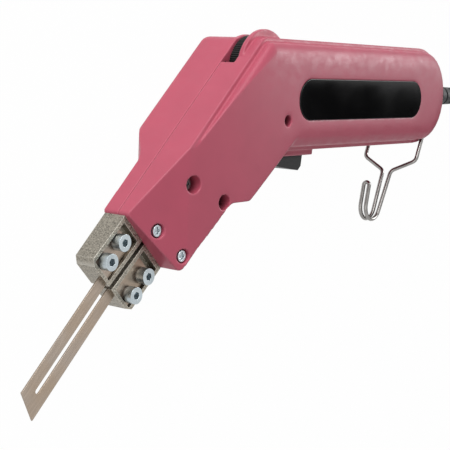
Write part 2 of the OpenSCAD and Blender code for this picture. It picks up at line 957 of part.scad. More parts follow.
module block_lower() {
    block(-1);
}

// Plate that the clamp screws press onto a leg of the blade, with two rounded rear corners
module plate(side) {
    front = -pocket_front + plate_gap;
    inner = block_inner + rim_w + plate_gap;
    outer = block_outer - rim_w - plate_gap;
    round_x = -plate_rear - plate_corner;
    color("Silver")
        at_nose()
            scale_side(side)
                translate([0, 0, blade_t / 2])
                    difference() {
                        linear_extrude(plate_t) {
                            translate([front, inner])
                                square([round_x - front, outer - inner]);
                            translate([front, inner + plate_corner])
                                square([-plate_rear - front, outer - inner - 2 * plate_corner]);
                            for (y = [inner + plate_corner, outer - plate_corner])
                                translate([round_x, y])
                                    circle(r = plate_corner);
                        }
                        for (k = [0, 1])
                            translate([-screw_first - k * clamp_pitch, screw_row, -over])
                                cylinder(r = clamp_screw_d / 2 + screw_gap, h = plate_t + 2 * over);
                    }
}

module plate_upper() {
    plate(1);
}

module plate_lower() {
    plate(-1);
}

module each_clamp_screw() {
    at_nose()
        for (side = [-1, 1])
            for (k = [0, 1])
                translate([-screw_first - k * clamp_pitch, side * screw_row, blade_t / 2 + plate_t])
                    children();
}

module clamp_screws() {
    head_d = 1.75 * clamp_screw_d;
    socket_d = 0.86 * clamp_screw_d;
    socket_floor = clamp_screw_d / 4;
    shank = block_far + blade_t / 2 + plate_t - over;
    color("LightSteelBlue")
        each_clamp_screw()
            difference() {
                union() {
                    translate([0, 0, washer_t])
                        cylinder(d = head_d, h = clamp_screw_d);
                    translate([0, 0, -shank])
                        cylinder(d = clamp_screw_d, h = shank + washer_t + over);
                }
                translate([0, 0, washer_t + socket_floor])
                    cylinder(d = socket_d, h = clamp_screw_d, $fn = 6);
            }
}

module spring_washers() {
    color("Gainsboro")
        each_clamp_screw()
            difference() {
                cylinder(d = washer_d, h = washer_t);
                translate([0, 0, -over])
                    cylinder(d = clamp_screw_d + 2 * screw_gap, h = washer_t + 2 * over);
                rotate([0, 0, 40])
                    translate([0, -0.4, -over])
                        cube([clamp_screw_d, 0.8, washer_t + 2 * over]);
            }
}

module blade() {
    root = -blade_seat - 0.2;
    upper_tip = -block_len - blade_len;
    slot_end = upper_tip + 5.2;
    color("RosyBrown")
        at_nose()
            translate([0, 0, -blade_t / 2])
                linear_extrude(blade_t)
                    difference() {
                        polygon([[root, blade_w / 2], [upper_tip, blade_w / 2],
                            [upper_tip - tip_slant, -blade_w / 2], [root, -blade_w / 2]]);
                        translate([slot_end, -slot_w / 2])
                            square([root - slot_end + over, slot_w]);
                        translate([slot_end, 0])
                            circle(d = slot_w);
                    }
}

module pan_screw(at, seat) {
    translate([at.x, at.y, seat]) {
        difference() {
            cylinder(d = screw_head_d, h = screw_head_h);
            for (turn = [0, 90])
                rotate(turn)
                    translate([-cross_len / 2, -cross_w / 2, screw_head_h / 2])
                        cube([cross_len, cross_w, screw_head_h]);
        }
        translate([0, 0, -seat - screw_depth + over])
            cylinder(d = screw_d, h = seat + screw_depth - over);
    }
}

module nose_screws() {
    color("LightSteelBlue")
        at_mid()
            for (i = [0, 1])
                pan_screw(nose_screw_at(i), nose_seats[i]);
}

module body_screws() {
    color("DimGray")
        at_mid()
            for (p = body_screws_at)
                pan_screw(p, body_seat);
}

// One side of the hook from its leg to the middle of the closed tip, hanging along -Y from the pivot
hook_corners = [[0, 0, hook_half], [0, -hook_leg, hook_half], [0, -hook_leg - shoulder_run, stem_half],
    [0, -hook_stem, tip_half]];
hook_bend = [for (k = [1:9]) let (t = hook_turn * k / 9)
    [hook_r * (cos(t) - 1), -hook_stem - hook_r * sin(t), tip_half]];
hook_out = [-sin(hook_turn), -cos(hook_turn), 0];
hook_loop = [for (t = [0:30:90])
    [hook_r * (cos(hook_turn) - 1), -hook_stem - hook_r * sin(hook_turn), tip_half * cos(t)]
        + hook_out * (hook_tip + tip_half * sin(t))];
hook_half_path = concat(round_path(round_path(hook_corners)), hook_bend, hook_loop);
hook_path = concat(hook_half_path, [for (i = [len(hook_half_path) - 2:-1:0])
    [hook_half_path[i].x, hook_half_path[i].y, -hook_half_path[i].z]]);
hook_sides = 10;

// Cuts the corners of an open path, keeping its ends
function round_path(p) = concat([p[0]],
    [for (i = [0:len(p) - 2]) each [p[i] * 0.75 + p[i + 1] * 0.25, p[i] * 0.25 + p[i + 1] * 0.75]],
    [p[len(p) - 1]]);

module hook_wire() {
    color("Silver")
        at_mid()
            translate([hook_at.x, hook_at.y, 0])
                rotate([0, 0, -hook_lean]) {
                    tube(hook_path, wire_r, hook_sides, [1, 0, 0]);
                    for (s = [-1, 1])
                        translate([0, 0, s > 0 ? hook_half - pivot_in : -hook_half - wire_r])
                            cylinder(r = wire_r, h = pivot_in + wire_r);
                }
}

module strain_relief() {
    ribs = 5;
    rib_pitch = relief_len / (ribs + 2);
    color("DimGray")
        at_mid()
            translate([rear_x, cord_y, 0])
                rotate([0, 90, 0]) {
                    translate([0, 0, -wall - flange_back - flange_t])
                        cylinder(r = flange_r, h = flange_t);
                    translate([0, 0, -wall - flange_back - over])
                        cylinder(r = neck_r, h = wall + flange_back + 2 * over);
                    translate([0, 0, relief_gap])
                        difference() {
                            cylinder(r1 = relief_d / 2, r2 = relief_end_r, h = relief_len - relief_gap);
                            for (k = [1:ribs])
                                translate([0, 0, (k + 0.5) * rib_pitch])
                                    difference() {
                                        cylinder(r = relief_d, h = rib_cut);
                                        translate([0, 0, -over])
                                            cylinder(r = relief_end_r - rib_depth, h = rib_cut + 2 * over);
                                    }
                        }
                }
}

module cord_clamp() {
    color("DimGray")
        at_mid()
            difference() {
                bar([clamp_x - clamp_bar_len / 2, cord_y - clamp_half - 3.5, cord_r],
                    [clamp_x + clamp_bar_len / 2, cord_y + clamp_half + 3.5, cord_r + clamp_bar_t]);
                for (s = [-1, 1])
                    translate([clamp_x, cord_y + s * clamp_half, 0])
                        cylinder(r = screw_d / 2 + screw_gap, h = 2 * cord_r + clamp_bar_t);
            }
}

module cord_clamp_screws() {
    color("Silver")
        at_mid()
            for (s = [-1, 1])
                pan_screw([clamp_x, cord_y + s * clamp_half], cord_r + clamp_bar_t);
}

module terminal_block() {
    color("Ivory")
        at_mid()
            bar([terminal_x, terminal_low, -terminal_half],
                [terminal_x + terminal_len, terminal_top, terminal_half]);
}

// Straight insulated lead along the grip
module lead(from, to_x) {
    at_mid()
        translate(from)
            rotate([0, 90, 0])
                cylinder(r = lead_r, h = to_x - from.x);
}

module mains_leads() {
    color("SaddleBrown")
        for (s = [-1, 1])
            lead([switch_x + switch_len, lead_y, s * lead_half], terminal_x);
}

module board_leads() {
    color("RoyalBlue")
        for (k = [0, 1])
            lead([dial_at.x + pot_r + component_gap, board_y + standoff_in + component_gap,
                board_top + lead_r + k * (2 * lead_r + gap)], capacitor_x);
}

module cord_inner() {
    color("Black")
        at_mid()
            translate([inner_cord_x, cord_y, 0])
                rotate([0, 90, 0])
                    cylinder(r = cord_r, h = rear_x - wall - flange_back - flange_t - inner_cord_x);
}

// Part of a vector square to a heading
function settle(v, d) = unit(v - (v * d) * d);

// Tube swept along points, with rings square to the path that turn as little as they can
module tube(path, r, sides, start) {
    n = len(path);
    headings = [for (i = [0:n - 1]) unit(path[min(i + 1, n - 1)] - path[max(i - 1, 0)])];
    across = [for (i = 0, a = settle(start, headings[0]); i < n;
        i = i + 1, a = settle(a, headings[min(i, n - 1)])) a];
    rings = [for (i = [0:n - 1]) [for (k = [0:sides - 1]) let (t = 360 * k / sides)
        path[i] + r * (cos(t) * across[i] + sin(t) * cross(headings[i], across[i]))]];
    walls = [for (i = [0:n - 2]) for (k = [0:sides - 1]) let (j = (k + 1) % sides)
        each [[i * sides + k, (i + 1) * sides + k, (i + 1) * sides + j],
            [i * sides + k, (i + 1) * sides + j, i * sides + j]]];
    ends = [for (k = [1:sides - 2]) each [[0, k, k + 1],
        [(n - 1) * sides, (n - 1) * sides + k + 1, (n - 1) * sides + k]]];
    polyhedron(points = [for (ring = rings) each ring], faces = concat(walls, ends));
}

stretch_path = concat([for (p = stretch_drops) cord_start + p], [stretch_end]);

module cord_stretch() {
    color("Black")
        tube(stretch_path, cord_r, stretch_sides, [0, 1, 0]);
}

// Radius and height of the coil after a number of turns
function coil_part(turn) = turn < coil_turns ? -1 : turn < coil_turns + 0.5 ? 0 : 1;
function coil_climb(turn) = (turn - coil_turns) / 0.5;
function coil_radius(turn) =
    coil_part(turn) < 0 ? coil_out_r - coil_pitch * turn :
    coil_part(turn) > 0 ? coil_in_r + coil_pitch * (turn - coil_turns - 0.5) :
    coil_in_r - coil_dip * sin(180 * coil_climb(turn));
function coil_height(turn) =
    coil_part(turn) < 0 ? cord_lie :
    coil_part(turn) > 0 ? cord_lie + coil_pitch :
    cord_lie + coil_pitch * (1 - cos(180 * coil_climb(turn))) / 2;
function coil_point(turn) = let (t = 90 - 360 * turn)
    [coil_centre.x + coil_radius(turn) * cos(t), coil_centre.y + coil_radius(turn) * sin(t), coil_height(turn)];

coil_rings = coil_total * rings_per_turn;
coil_turn_path = [for (i = [0:coil_rings]) coil_point(i / rings_per_turn)];
coil_last = coil_turn_path[len(coil_turn_path) - 1];
coil_tail = [for (k = [1:4]) coil_last + [k * tail_len / 4, 0, 0]];
coil_path = concat([stretch_end], coil_turn_path, coil_tail);

// Least gap of the coil to itself, between points at least half a turn apart
coil_gap = min([for (i = [0:len(coil_path) - 1]) for (j = [i + rings_per_turn / 2:1:len(coil_path) - 1])
    norm(coil_path[i] - coil_path[j])]) - cord_d;
echo(coil_gap = coil_gap);

module cord_coil() {
    color("Black")
        tube(coil_path, cord_r, coil_sides, [0, 1, 0]);
}

module cord_tie() {
    inner = coil_in_r - cord_r - gap;
    outer = coil_out_r + cord_r + gap;
    top = cord_lie + coil_pitch + cord_r + gap / 2;
    color("DimGray")
        translate([coil_centre.x, coil_centre.y, 0])
            rotate([0, 0, tie_angle])
                difference() {
                    bar([inner - tie_t, -tie_w / 2, 0.1], [outer + tie_t, tie_w / 2, top + tie_t]);
                    bar([inner, -tie_w / 2 - over, 0.1 + tie_t], [outer, tie_w / 2 + over, top]);
                }
}

plug_at = coil_tail[len(coil_tail) - 1];

module plug_body() {
    half = plug_at.z;
    color("Black")
        translate([plug_at.x, plug_at.y, 0])
            linear_extrude(2 * half)
                polygon([[0, -cord_r - 1.5], [14, -cord_r - 2.5], [18, -plug_w / 2 + 1], [plug_len, -plug_w / 2],
                    [plug_len, plug_w / 2], [18, plug_w / 2 - 1], [14, cord_r + 2.5], [0, cord_r + 1.5]]);
}

module plug_pins() {
    color("Silver")
        for (s = [-1, 1])
            translate([plug_at.x + plug_len, plug_at.y + s * pin_spacing / 2 - pin_t / 2, plug_at.z - pin_w / 2])
                cube([pin_len, pin_t, pin_w]);
}

shell_near();
shell_far();
label_plate();
dial_wheel();
dial_shaft();
dial_pot();
control_board();
filter_capacitor();
triac_heatsink();
choke_coil();
trigger_lever();
trigger_pin();
trigger_spring();
switch_body();
switch_plunger();
transformer_core();
coil_bobbin();
primary_coil();
strap_upper();
strap_lower();
electrode_holder();
block_upper();
block_lower();
plate_upper();
plate_lower();
clamp_screws();
spring_washers();
blade();
nose_screws();
body_screws();
hook_wire();
strain_relief();
cord_clamp();
cord_clamp_screws();
terminal_block();
mains_leads();
board_leads();
cord_inner();
cord_stretch();
cord_coil();
cord_tie();
plug_body();
plug_pins();
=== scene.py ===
import json
import math

import bpy
from mathutils import Matrix, Vector


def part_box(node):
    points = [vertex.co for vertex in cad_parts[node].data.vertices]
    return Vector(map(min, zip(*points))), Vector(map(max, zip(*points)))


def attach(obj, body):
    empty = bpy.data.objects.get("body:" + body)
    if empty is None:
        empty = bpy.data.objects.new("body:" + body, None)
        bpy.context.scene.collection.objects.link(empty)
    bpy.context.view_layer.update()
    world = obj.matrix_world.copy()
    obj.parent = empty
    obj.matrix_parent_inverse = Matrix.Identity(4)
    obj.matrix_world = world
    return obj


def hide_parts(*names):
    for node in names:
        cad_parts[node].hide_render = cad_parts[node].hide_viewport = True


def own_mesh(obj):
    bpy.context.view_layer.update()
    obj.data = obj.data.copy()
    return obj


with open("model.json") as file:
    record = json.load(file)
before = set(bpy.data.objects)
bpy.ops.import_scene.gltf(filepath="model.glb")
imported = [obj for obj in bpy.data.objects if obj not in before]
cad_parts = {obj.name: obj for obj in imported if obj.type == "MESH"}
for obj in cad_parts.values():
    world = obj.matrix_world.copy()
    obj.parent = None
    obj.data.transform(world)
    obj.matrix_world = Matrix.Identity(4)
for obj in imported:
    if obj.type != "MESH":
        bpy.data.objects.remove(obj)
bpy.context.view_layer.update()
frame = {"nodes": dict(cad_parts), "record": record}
nodes = frame["nodes"]

# All lengths are in metres, unless a comment says otherwise
MM = 0.001

# Camera, fitted to the photograph's view, with its lens and sensor in mm
CAMERA_AT = Vector((-413.8, 22.6, 329.4)) * MM
CAMERA_RIGHT = Vector((0.6098, 0.0395, 0.7916))
CAMERA_UP = Vector((0.087, 0.9894, -0.1164))
CAMERA_LENS = 92.0
CAMERA_SENSOR = 36.0
CAMERA_NEAR = 10 * MM

# What several pieces share: the height of the parting plane in mm, and the turn of the nose
PARTING_MM = 20.5
NOSE_TURN = -math.radians(44)

# Cord, on the route of its solids: a stretch down to the table, a coil in two layers and a tail to the plug
CORD_D = 6.8 * MM
CORD_START = Vector((206.5, 8.5, PARTING_MM)) * MM
CORD_CLEAR = 1 * MM
CORD_LIE = CORD_D / 2 + CORD_CLEAR
CORD_ROUNDNESS = 5
STRETCH_LEN = 130 * MM
STRETCH_STEPS = 3
COIL_GAP = 0.6 * MM
COIL_PITCH = CORD_D + COIL_GAP
COIL_TURNS = 3.75
COIL_CLIMB = 0.5
COIL_IN_R = 4.1 * CORD_D
COIL_OUT_R = COIL_IN_R + COIL_PITCH * COIL_TURNS
COIL_DIP = 1.2 * MM
COIL_STEPS = 24
TAIL_LEN = 5 * CORD_D
TAIL_STEPS = 4

# Way of the stretch before its end on the table: distance and height from its start, in mm
STRETCH_WAY = [(0, 0), (12, 0), (28, -1.5), (46, -6), (64, -11), (82, -14.5), (100, -16), (116, -16)]

# Hanging hook, with the bends of its solid and a wire 0.1 mm thinner, so that it clears the mouldings
WIRE_D = 2.1 * MM
WIRE_ROUNDNESS = 4
HOOK_AT = Vector((147, -5, PARTING_MM)) * MM
HOOK_LEAN = math.radians(24)
HOOK_HALF = 15.6 * MM
HOOK_PIVOT = 4.6 * MM
HOOK_LEG = 22.6 * MM
HOOK_SHOULDER = 7.0 * MM
HOOK_STEM_HALF = 2.4 * MM
HOOK_STEM = 52.5 * MM
HOOK_TIP_HALF = 1.6 * MM
HOOK_R = 7.2 * MM
HOOK_TURN = math.radians(168)
HOOK_TIP = 10.0 * MM
HOOK_CORNER = 2.2 * MM
CORNER_STEPS = 6
BEND_STEPS = 24
TIP_STEPS = 8

# Return spring of the trigger, in the room of its solid
SPRING_WIRE = 0.5 * MM
SPRING_ROUNDNESS = 2
SPRING_TURNS = 3
SPRING_STEPS = 16

# Moulded copies of the housing halves: grid size, smoothing passes all over, share of faces kept,
# least Z of the normal on the flats, and smoothing passes there
SHELL_VOXEL = 0.4 * MM
SHELL_PASSES = 4
SHELL_KEEP = 0.2
FLAT_NORMAL = 0.975
FLAT_PASSES = 150
SMOOTH_FACTOR = 0.5

# Rounds on the edges of the other solids: reach of the weld, angle under which faces join,
# angle over which an edge is rounded, and each solid's width in mm
WELD_REACH = 0.001 * MM
JOIN_ANGLE = math.radians(0.3)
ROUND_ANGLE = math.radians(35)
ROUND_SEGMENTS = 2
ROUNDS_MM = {
    "label_plate": 0.25,
    "dial_wheel": 0.2,
    "trigger_lever": 0.6,
    "block_upper": 0.35,
    "block_lower": 0.35,
    "plate_upper": 0.2,
    "plate_lower": 0.2,
    "clamp_screws": 0.35,
    "spring_washers": 0.15,
    "blade": 0.12,
    "nose_screws": 0.3,
    "body_screws": 0.3,
    "strain_relief": 0.35,
    "cord_tie": 0.2,
    "plug_body": 2.0,
    "plug_pins": 0.4,
    "electrode_holder": 0.3,
}

# Values over which the looks' masks rise: of a noise, of the pointiness of a raised edge,
# and of the agreement between rounded and true normal near a corner
NOISE_SPAN = (0.35, 0.65)
EDGE_SPAN = (0.505, 0.56)
CORNER_SPAN = (0.86, 0.985)

# Stage: strength of the world's light, the floor with the share of plain white that the camera sees there,
# and the dark card with its place along X and its edges
WHITE = (1.0, 1.0, 1.0, 1.0)
FULL_WHITE = 1.0
AMBIENT = 0.32
FLOOR_HALF = 4.0
FLOOR_TONE = 0.88
FLOOR_ROUGH = 0.9
FLOOR_WHITE = 0.985
CARD_X = 1.0
CARD_Y_MIN = -0.25
CARD_Y_MAX = 0.004
CARD_H = 0.85
CARD_TONE = 0.01
CARD_ROUGH = 0.95

# What the lamps aim at
TOOL_MIDDLE = (0.0, 0.0, 0.02)
GRIP_MIDDLE = (0.05, 0.02, 0.04)


def make_camera():
    """The camera at the photograph's viewing angle."""
    right = CAMERA_RIGHT.normalized()
    up = (CAMERA_UP - right * CAMERA_UP.dot(right)).normalized()
    back = right.cross(up)
    data = bpy.data.cameras.new("camera")
    data.lens = CAMERA_LENS
    data.sensor_width = CAMERA_SENSOR
    data.clip_start = CAMERA_NEAR
    camera = bpy.data.objects.new("camera", data)
    turn = Matrix((right, up, back)).transposed().to_4x4()
    camera.matrix_world = Matrix.Translation(CAMERA_AT) @ turn
    bpy.context.scene.collection.objects.link(camera)
    bpy.context.scene.camera = camera


def wire_curve(name, points, diameter, roundness):
    """A round curve object through the points, whose thickness is in the points' own radius."""
    data = bpy.data.curves.new(name, "CURVE")
    data.dimensions = "3D"
    data.bevel_depth = 1.0
    data.bevel_resolution = roundness
    data.use_fill_caps = True
    spline = data.splines.new("POLY")
    spline.points.add(len(points) - 1)
    for point, place in zip(spline.points, points):
        point.co = (place.x, place.y, place.z, 1.0)
        point.radius = diameter / 2
    spline.use_smooth = True
    piece = bpy.data.objects.new(name, data)
    bpy.context.scene.collection.objects.link(piece)
    return piece


def settled_mesh(piece):
    """A new mesh of a piece as its modifiers, or its curve's thickness, leave it."""
    bpy.context.view_layer.update()
    seen = piece.evaluated_get(bpy.context.evaluated_depsgraph_get())
    return bpy.data.meshes.new_from_object(seen)


def smooth_route(points, steps):
    """Points along a smooth cubic curve that passes through the given ones."""
    route = []
    ends = [points[0]] + points + [points[-1]]
    for a, b, c, d in zip(ends, ends[1:], ends[2:], ends[3:]):
        for k in range(steps):
            t = k / steps
            route.append(0.5 * (2 * b + (c - a) * t + (2 * a - 5 * b + 4 * c - d) * t ** 2
                                + (3 * b - a - 3 * c + d) * t ** 3))
    return route + [points[-1]]


def coil_point(turn, centre):
    """A point of the coil after a number of turns: in on the lower layer, out on the upper."""
    if turn < COIL_TURNS:
        radius = COIL_OUT_R - COIL_PITCH * turn
        height = CORD_LIE
    elif turn < COIL_TURNS + COIL_CLIMB:
        climb = math.pi * (turn - COIL_TURNS) / COIL_CLIMB
        radius = COIL_IN_R - COIL_DIP * math.sin(climb)
        height = CORD_LIE + COIL_PITCH * (1 - math.cos(climb)) / 2
    else:
        radius = COIL_IN_R + COIL_PITCH * (turn - COIL_TURNS - COIL_CLIMB)
        height = CORD_LIE + COIL_PITCH
    angle = math.pi / 2 - 2 * math.pi * turn
    return Vector((centre.x + radius * math.cos(angle), centre.y + radius * math.sin(angle), height))


def make_cord():
    """The mains cord as one curve, from the strain relief to the plug."""
    stretch = [CORD_START + Vector((along, 0, height)) * MM for along, height in STRETCH_WAY]
    stretch.append(Vector((CORD_START.x + STRETCH_LEN, CORD_START.y, CORD_LIE)))
    centre = Vector((stretch[-1].x + CORD_D, CORD_START.y - COIL_OUT_R, 0))
    rings = int((2 * COIL_TURNS + COIL_CLIMB) * COIL_STEPS)
    coil = [coil_point(k / COIL_STEPS, centre) for k in range(rings + 1)]
    tail = [coil[-1] + Vector((TAIL_LEN * k / TAIL_STEPS, 0, 0)) for k in range(1, TAIL_STEPS + 1)]
    route = smooth_route(stretch, STRETCH_STEPS) + coil + tail
    cord = wire_curve("mains_cord", route, CORD_D, CORD_ROUNDNESS)
    dress(cord, "rubber")
    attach(cord, "tool")
    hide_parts("cord_stretch", "cord_coil")


def rounded_corner(before, corner, after):
    """Points that round a corner of the hook's wire."""
    start = corner + (before - corner).normalized() * HOOK_CORNER
    end = corner + (after - corner).normalized() * HOOK_CORNER
    points = []
    for k in range(CORNER_STEPS + 1):
        t = k / CORNER_STEPS
        points.append(start * (1 - t) ** 2 + corner * 2 * t * (1 - t) + end * t ** 2)
    return points


def hook_side(side):
    """Points of one half of the hook, from the pivot to the middle of its tip."""
    corners = [
        Vector((0, 0, HOOK_HALF - HOOK_PIVOT)),
        Vector((0, 0, HOOK_HALF)),
        Vector((0, -HOOK_LEG, HOOK_HALF)),
        Vector((0, -HOOK_LEG - HOOK_SHOULDER, HOOK_STEM_HALF)),
        Vector((0, -HOOK_STEM, HOOK_TIP_HALF)),
    ]
    points = [corners[0]]
    for before, corner, after in zip(corners, corners[1:], corners[2:]):
        points += rounded_corner(before, corner, after)
    for k in range(BEND_STEPS + 1):
        t = HOOK_TURN * k / BEND_STEPS
        points.append(Vector((HOOK_R * (math.cos(t) - 1), -HOOK_STEM - HOOK_R * math.sin(t), HOOK_TIP_HALF)))
    foot = points[-1]
    out = Vector((-math.sin(HOOK_TURN), -math.cos(HOOK_TURN), 0))
    for k in range(TIP_STEPS + 1):
        t = math.pi / 2 * k / TIP_STEPS
        along = foot + out * (HOOK_TIP + HOOK_TIP_HALF * math.sin(t))
        points.append(Vector((along.x, along.y, HOOK_TIP_HALF * math.cos(t))))
    return [Vector((p.x, p.y, side * p.z)) for p in points]


def make_hook():
    """The hanging hook, bent from one wire."""
    near = hook_side(1)
    far = hook_side(-1)
    place = Matrix.Translation(HOOK_AT) @ Matrix.Rotation(-HOOK_LEAN, 4, "Z")
    points = [place @ p for p in near + far[-2::-1]]
    hook = wire_curve("hanging_hook", points, WIRE_D, WIRE_ROUNDNESS)
    dress(hook, "hook")
    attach(hook, "hook")
    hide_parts("hook_wire")


def make_spring():
    """The trigger's return spring as a still coil in the room of its solid; the lever presses its foot up
    while its top stays in place.
    """
    low, high = (Vector(corner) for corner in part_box("trigger_spring"))
    middle = (low + high) / 2
    radius = (high.x - low.x - SPRING_WIRE) / 2
    foot = low.y + SPRING_WIRE / 2
    rise = high.y - low.y - SPRING_WIRE
    steps = SPRING_TURNS * SPRING_STEPS
    points = []
    for k in range(steps + 1):
        t = 2 * math.pi * k / SPRING_STEPS
        points.append(Vector((middle.x + radius * math.cos(t), foot + rise * k / steps,
                              middle.z + radius * math.sin(t))))
    path = wire_curve("spring_path", points, SPRING_WIRE, SPRING_ROUNDNESS)
    spring = bpy.data.objects.new("trigger_coil", settled_mesh(path))
    bpy.data.objects.remove(path)
    bpy.context.scene.collection.objects.link(spring)
    dress(spring, "steel")
    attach(spring, "tool")
    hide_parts("trigger_spring")
    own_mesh(spring)


def shaded(color, share):
    """A colour with alpha, made darker or lighter by a share."""
    return (*[min(1.0, c * share) for c in color], 1.0)


class Look:
    """A node material with a principled surface and helpers for its detail."""

    def __init__(self, name, color, roughness, metallic=0.0, gloss=0.5):
        self.material = bpy.data.materials.new(name)
        self.material.use_nodes = True
        self.tree = self.material.node_tree
        self.surface = self.tree.nodes["Principled BSDF"]
        self.surface.inputs["Base Color"].default_value = (*color, 1.0)
        self.surface.inputs["Roughness"].default_value = roughness
        self.surface.inputs["Metallic"].default_value = metallic
        self.surface.inputs["Specular IOR Level"].default_value = gloss
        self.color = color
        self.roughness = roughness
        self.place = self.node("ShaderNodeTexCoord").outputs["Object"]

    def node(self, kind, **values):
        """A new node with values set on its inputs."""
        made = self.tree.nodes.new(kind)
        for key, value in values.items():
            made.inputs[key].default_value = value
        return made

    def link(self, start, end):
        """Joins an output to an input."""
        self.tree.links.new(start, end)

    def stretched(self, along, across, turn):
        """Object coordinates turned about Z, then scaled along X and across it."""
        spin = self.node("ShaderNodeMapping", Rotation=(0.0, 0.0, turn))
        self.link(self.place, spin.inputs["Vector"])
        size = self.node("ShaderNodeMapping", Scale=(along, across, across))
        self.link(spin.outputs["Vector"], size.inputs["Vector"])
        return size.outputs["Vector"]

    def noise(self, scale, detail=3.0, place=None):
        """Noise over the object's coordinates, or over the given ones."""
        made = self.node("ShaderNodeTexNoise", Scale=scale, Detail=detail)
        self.link(place or self.place, made.inputs["Vector"])
        return made.outputs["Fac"]

    def ramp(self, source, low=0.0, high=1.0, span=NOISE_SPAN):
        """Goes from low to high while the source passes over the span."""
        made = self.node("ShaderNodeMapRange")
        made.inputs["From Min"].default_value = span[0]
        made.inputs["From Max"].default_value = span[1]
        made.inputs["To Min"].default_value = low
        made.inputs["To Max"].default_value = high
        self.link(source, made.inputs["Value"])
        return made.outputs["Result"]

    def color_mix(self, factor):
        """A mix of two colours by a factor, as the new base colour."""
        mix = self.node("ShaderNodeMix")
        mix.data_type = "RGBA"
        self.link(factor, mix.inputs["Factor"])
        self.link(mix.outputs["Result"], self.surface.inputs["Base Color"])
        return mix

    def mottle(self, source, dark, light):
        """Colour that wanders between a darker and a lighter share of the base."""
        mix = self.color_mix(self.ramp(source))
        mix.inputs["A"].default_value = shaded(self.color, dark)
        mix.inputs["B"].default_value = shaded(self.color, light)

    def tint(self, source, color):
        """Lays another colour, with alpha, over the base where the source is high."""
        base = self.surface.inputs["Base Color"].links[0].from_socket
        mix = self.color_mix(source)
        mix.inputs["B"].default_value = color
        self.link(base, mix.inputs["A"])

    def edges(self, share):
        """High on raised edges of a dense mesh, where the housing gets a painted highlight."""
        shape = self.node("ShaderNodeNewGeometry")
        return self.ramp(shape.outputs["Pointiness"], 0.0, share, EDGE_SPAN)

    def corners(self, share, radius):
        """High along the corners of a plain mesh, where metals get a painted highlight."""
        soft = self.node("ShaderNodeBevel", Radius=radius)
        shape = self.node("ShaderNodeNewGeometry")
        meet = self.node("ShaderNodeVectorMath")
        meet.operation = "DOT_PRODUCT"
        self.link(soft.outputs["Normal"], meet.inputs[0])
        self.link(shape.outputs["True Normal"], meet.inputs[1])
        return self.ramp(meet.outputs["Value"], share, 0.0, CORNER_SPAN)

    def painted_shade_in_hollows(self, share, reach, span):
        """High in the piece's own pockets and holes, where the looks lay painted shade."""
        shade = self.node("ShaderNodeAmbientOcclusion", Distance=reach)
        shade.only_local = True
        return self.ramp(shade.outputs["AO"], share, 0.0, span)

    def rough(self, source, less, more):
        """Roughness that wanders from a little less to a little more than the look's own."""
        wander = self.ramp(source, self.roughness - less, self.roughness + more)
        self.link(wander, self.surface.inputs["Roughness"])

    def bump(self, source, strength, distance):
        """Relief from the source."""
        made = self.node("ShaderNodeBump", Strength=strength, Distance=distance)
        self.link(source, made.inputs["Height"])
        self.link(made.outputs["Normal"], self.surface.inputs["Normal"])


def moulded(name, color, roughness, grain, spread=0.04, gloss=0.5):
    """Moulded plastic with a fine eroded grain and a slightly uneven tone."""
    look = Look(name, color, roughness, gloss=gloss)
    look.mottle(look.noise(scale=60.0), dark=1 - spread, light=1 + spread)
    look.rough(look.noise(scale=240.0), less=0.05, more=0.07)
    look.bump(look.noise(scale=1800.0, detail=2.0), strength=grain, distance=0.2 * MM)
    return look


def housing_plastic(name, color, roughness, painted_edge_highlight):
    """The housing's plastic: fine grain, raised edges a little paler as a painted highlight, and painted
    shade in its holes.
    """
    look = moulded(name, color, roughness, grain=0.12, spread=0.03, gloss=0.35)
    # painted highlight: raised edges made a little paler
    look.tint(look.edges(share=0.35), shaded(painted_edge_highlight, 1.0))
    # painted shade: holes and pockets darkened towards a dark share of the base colour
    look.tint(look.painted_shade_in_hollows(share=0.9, reach=7 * MM, span=(0.12, 0.55)), shaded(color, 0.12))
    return look


def drawn_metal(name, color, roughness, turn=0.0, spread=0.12):
    """Metal with fine lines drawn along one direction."""
    look = Look(name, color, roughness, metallic=1.0)
    lines = look.noise(scale=1.0, detail=4.0, place=look.stretched(along=120.0, across=6000.0, turn=turn))
    look.mottle(lines, dark=1 - spread, light=1 + spread)
    look.rough(lines, less=0.08, more=0.1)
    look.bump(lines, strength=0.15, distance=0.1 * MM)
    return look


def cast_metal(name, color, roughness, painted_corner_highlight, dark):
    """Plated casting: sandy skin, a painted highlight along its corners and painted shade in its pockets."""
    look = Look(name, color, roughness, metallic=1.0)
    sand = look.noise(scale=1500.0, detail=5.0)
    look.mottle(sand, dark=0.6, light=1.4)
    # painted highlight along the corners
    look.tint(look.corners(share=0.9, radius=0.5 * MM), shaded(painted_corner_highlight, 1.0))
    # painted shade in the pockets, in the dark colour
    look.tint(look.painted_shade_in_hollows(share=0.85, reach=5 * MM, span=(0.2, 0.6)), shaded(dark, 1.0))
    look.rough(sand, less=0.1, more=0.12)
    look.bump(sand, strength=0.6, distance=0.4 * MM)
    return look


def blade_metal(name, color, roughness, straw, turn):
    """Ground strip with straw tints from heat."""
    look = drawn_metal(name, color, roughness, turn, spread=0.16)
    look.tint(look.ramp(look.noise(scale=70.0, detail=2.0), high=0.6), shaded(straw, 1.0))
    return look


def plain(name, color, roughness, metallic=0.0):
    """Sundry material with a faint mottle and grain."""
    look = Look(name, color, roughness, metallic)
    look.mottle(look.noise(scale=150.0), dark=0.88, light=1.1)
    look.rough(look.noise(scale=400.0), less=0.05, more=0.05)
    look.bump(look.noise(scale=1200.0), strength=0.08, distance=0.1 * MM)
    return look


def gloss_sheet(name, color, roughness):
    """Smooth glossy sheet with faint handling marks."""
    look = Look(name, color, roughness, gloss=0.25)
    marks = look.noise(scale=35.0, detail=2.0)
    look.mottle(marks, dark=0.85, light=1.2)
    look.rough(marks, less=0.02, more=0.04)
    return look


